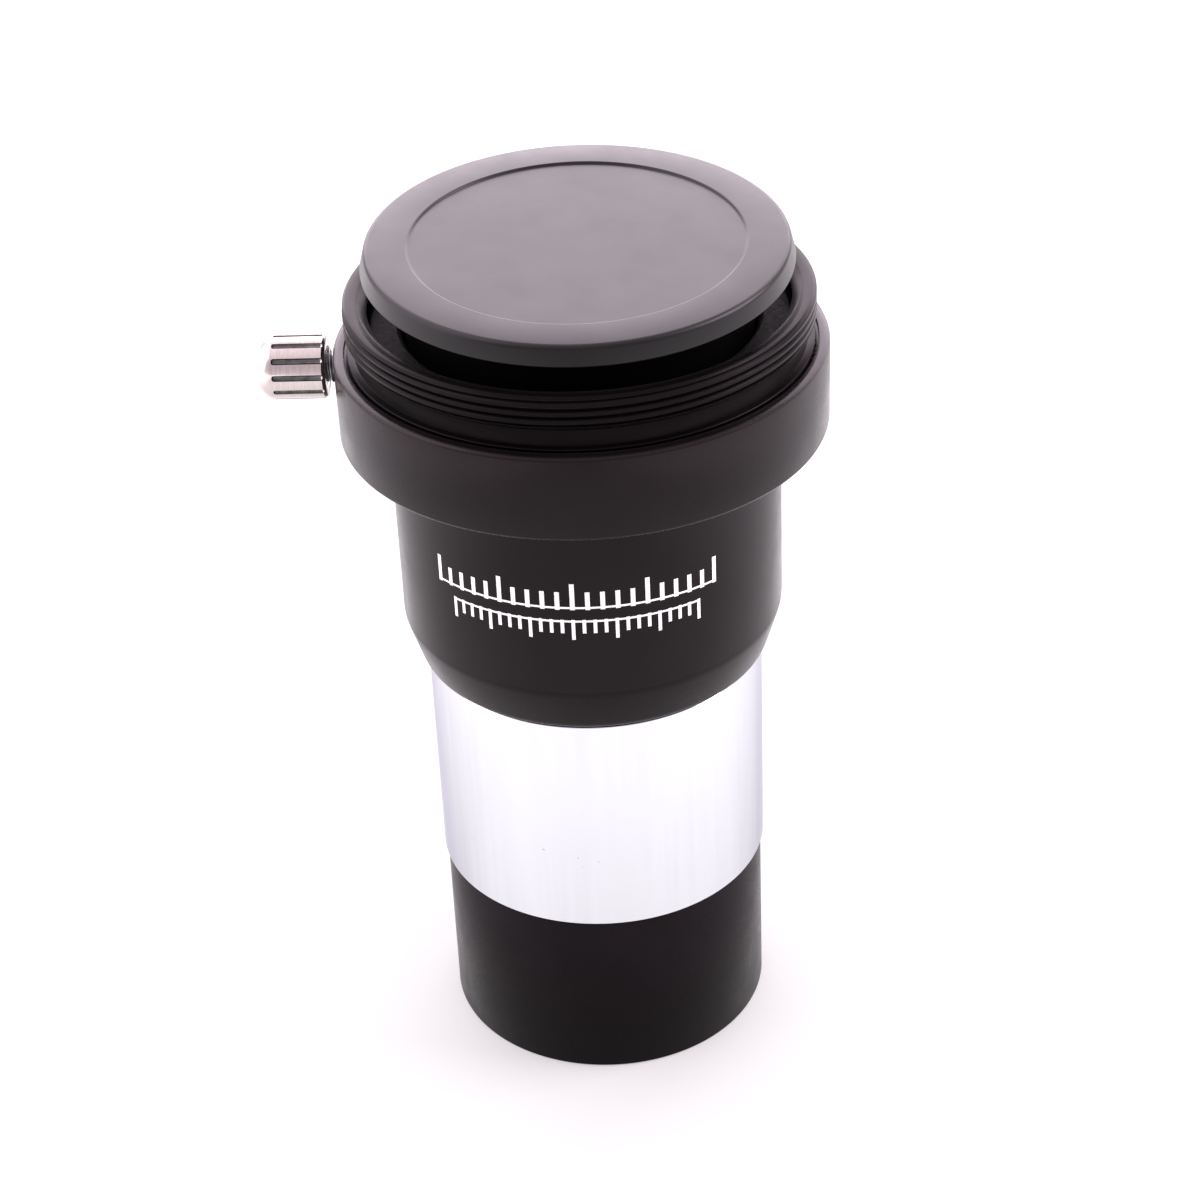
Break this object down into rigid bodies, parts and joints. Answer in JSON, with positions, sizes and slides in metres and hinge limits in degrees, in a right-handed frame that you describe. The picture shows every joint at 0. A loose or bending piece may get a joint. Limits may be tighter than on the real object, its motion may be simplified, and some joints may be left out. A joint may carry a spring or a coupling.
{
  "type": "barlow lens",
  "caption": "Telescope barlow lens: bright push-in nosepiece, black lens cell, tapered body, wide eyepiece holder with thumbscrew, camera thread ring and dust cap.",
  "frame": {"origin": "on the optical axis, in the plane of the lens cell's foot, which the object stands on", "axes": "+Z along the optical axis from the lens cell to the eyepiece end; the thumbscrew points to -X"},
  "size_m": [0.0517, 0.0444, 0.0832],
  "materials": {
    "lens_cell": "black anodised, satin",
    "glass": "polished, anti-reflection coated",
    "retaining_ring": "matt black",
    "plating": "bright plated, slightly brushed",
    "body": "black anodised, satin",
    "thread_ring": "black anodised, satin",
    "knob": "bright plated",
    "stud": "bright turned steel",
    "dust_cap": "satin moulded plastic"
  },
  "bodies": {
    "tube": {"nosepiece_barrel": "plating", "body_tube": "body", "eyepiece_holder": "body", "t_thread_ring": "thread_ring"},
    "dust_cap": {"dust_cap": "dust_cap"},
    "thumbscrew_stud": {"thumbscrew_stud": "stud"},
    "thumbscrew_knob": {"thumbscrew_knob": "knob"},
    "lens_cell": {"lens_cell": "lens_cell"},
    "lens_group": {"crown_lens": "glass", "flint_lens": "glass", "retaining_ring": "retaining_ring"}
  },
  "joints": [
    {"name": "dust_cap_pull", "type": "slide", "parent": "tube", "child": "dust_cap", "axis": [0, 0, 1], "range_m": [0, 0.016]},
    {"name": "thumbscrew_travel", "type": "slide", "parent": "tube", "child": "thumbscrew_stud", "axis": [-1, 0, 0], "range_m": [-0.00038, 0.006]},
    {"name": "thumbscrew_turn", "type": "hinge", "parent": "thumbscrew_stud", "child": "thumbscrew_knob", "pos_m": [-0.0229, 0, 0.07018], "axis": [-1, 0, 0], "range_deg": [-270, 4320]},
    {"name": "lens_cell_travel", "type": "slide", "parent": "tube", "child": "lens_cell", "axis": [0, 0, -1], "range_m": [0, 0.0036]},
    {"name": "lens_cell_turn", "type": "hinge", "parent": "lens_cell", "child": "lens_group", "pos_m": [0, 0, 0.01], "axis": [0, 0, -1], "range_deg": [0, 2160]}
  ],
  "couplings": [
    {"joint": "thumbscrew_turn", "follows": "thumbscrew_travel", "rad_per_m": 12566},
    {"joint": "lens_cell_turn", "follows": "lens_cell_travel", "rad_per_m": 10472}
  ]
}
